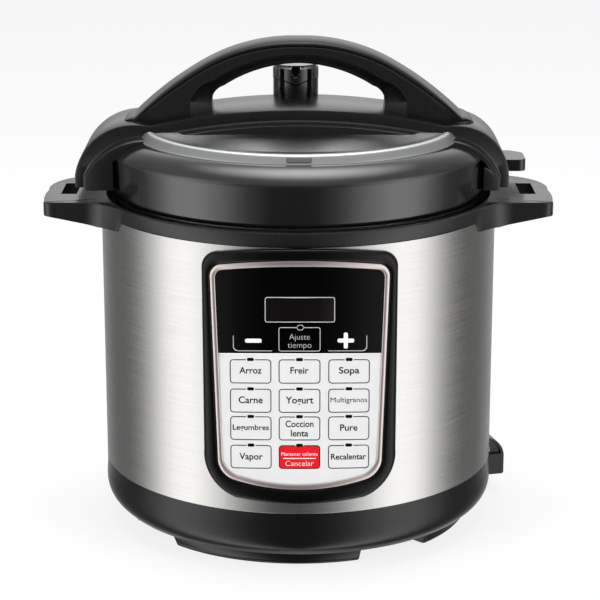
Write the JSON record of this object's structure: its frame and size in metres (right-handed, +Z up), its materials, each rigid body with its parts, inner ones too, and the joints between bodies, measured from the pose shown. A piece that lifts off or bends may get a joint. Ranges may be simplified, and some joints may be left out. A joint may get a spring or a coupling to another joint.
{
  "type": "electric pressure cooker",
  "caption": "Cylindrical electric pressure cooker with side handles, printed key panel, inner pot, and a bayonet lid with arched handle, release knob and float valve.",
  "frame": {"origin": "on the floor under the middle of the round body", "axes": "+Z up, -Y towards the control panel, +X to the right seen from the front"},
  "size_m": [0.3362, 0.2681, 0.3272],
  "materials": {
    "black_plastic": "moulded, satin",
    "gloss_black": "moulded, polished",
    "brushed_steel": "brushed around the body",
    "pressed_steel": "pressed sheet, satin",
    "trim_silver": "plated plastic, satin chrome",
    "foil_print": "printed polyester foil",
    "dark_window": "tinted clear plastic",
    "silicone": "translucent white silicone",
    "foot_rubber": "moulded rubber",
    "aluminium_cast": "cast and turned",
    "fasteners": "zinc plated",
    "board_green": "solder resist on glass epoxy",
    "component_dark": "moulded epoxy",
    "component_blue": "moulded case",
    "copper": "plated copper alloy",
    "spring_steel": "drawn wire"
  },
  "bodies": {
    "base": {"base_ring": "gloss_black", "board_screws": "fasteners", "board_spacers": "component_dark", "bottom_cover": "pressed_steel", "bottom_screws": "fasteners", "capacitors": "component_dark", "collar": "black_plastic", "control_board": "board_green", "control_chips": "component_dark", "display_window": "dark_window", "foot_pads": "foot_rubber", "heat_shield": "pressed_steel", "heater_element": "pressed_steel", "heating_plate": "aluminium_cast", "inlet_hood": "black_plastic", "inlet_pins": "copper", "inlet_screws": "fasteners", "inlet_socket": "component_dark", "key_switches": "component_dark", "keypad_foil": "foil_print", "led_display": "component_dark", "panel_bezel": "gloss_black", "panel_trim": "trim_silver", "plate_screws": "fasteners", "power_board": "board_green", "pressure_shell": "pressed_steel", "pressure_switch": "component_dark", "relay": "component_blue", "sensor_guide": "aluminium_cast", "sensor_spring": "spring_steel", "spring_plate": "pressed_steel", "steel_housing": "brushed_steel", "thermal_fuse": "component_dark", "tie_bolts": "fasteners", "tie_sleeves": "pressed_steel", "transformer": "component_dark"},
    "pot": {"inner_pot": "brushed_steel"},
    "sensor": {"sensor_cap": "aluminium_cast"},
    "seal": {"sealing_ring": "silicone"},
    "lid": {"lid_cover": "black_plastic", "lid_trim_plate": "brushed_steel", "lid_bridge": "gloss_black", "handle_body": "black_plastic", "handle_cover": "gloss_black", "handle_screws": "fasteners", "inner_lid": "brushed_steel", "lid_screws": "fasteners", "ring_rack": "pressed_steel", "exhaust_pipe": "pressed_steel", "exhaust_nut": "fasteners", "block_shield": "pressed_steel", "valve_collar": "gloss_black", "lock_guide": "black_plastic", "lock_spring": "spring_steel"},
    "weight": {"valve_weight": "pressed_steel"},
    "knob": {"release_knob": "gloss_black"},
    "float": {"float_valve": "pressed_steel", "float_seal": "silicone"},
    "lock": {"lock_slider": "pressed_steel"}
  },
  "joints": [
    {"name": "lid_lift", "type": "slide", "parent": "base", "child": "seal", "axis": [0, 0, 1], "range_m": [0, 0.36]},
    {"name": "lid_turn", "type": "hinge", "parent": "seal", "child": "lid", "pos_m": [0, 0, 0.24], "axis": [0, 0, 1], "range_deg": [0, 30]},
    {"name": "pot_lift", "type": "slide", "parent": "base", "child": "pot", "axis": [0, 0, 1], "range_m": [0, 0.18]},
    {"name": "sensor_press", "type": "slide", "parent": "base", "child": "sensor", "axis": [0, 0, 1], "range_m": [-0.003, 0], "stiffness_N_per_m": 400, "springref_m": 0.003, "deforming": ["sensor_spring"]},
    {"name": "vent_lift", "type": "slide", "parent": "lid", "child": "weight", "axis": [0, 0, 1], "range_m": [0, 0.0035]},
    {"name": "release_turn", "type": "hinge", "parent": "weight", "child": "knob", "pos_m": [-0.0018, 0.034, 0.295], "axis": [0, 0, 1], "range_deg": [0, 30]},
    {"name": "float_rise", "type": "slide", "parent": "lid", "child": "float", "axis": [0, 0, 1], "range_m": [0, 0.005]},
    {"name": "lock_slide", "type": "slide", "parent": "lid", "child": "lock", "axis": [1, 0, 0], "range_m": [0, 0.005], "stiffness_N_per_m": 120, "springref_m": -0.004, "deforming": ["lock_spring"]}
  ],
  "couplings": [
    {"joint": "pot_lift", "follows": "lid_lift", "ratio": 0.5},
    {"joint": "vent_lift", "follows": "release_turn", "m_per_rad": 0.0061}
  ]
}
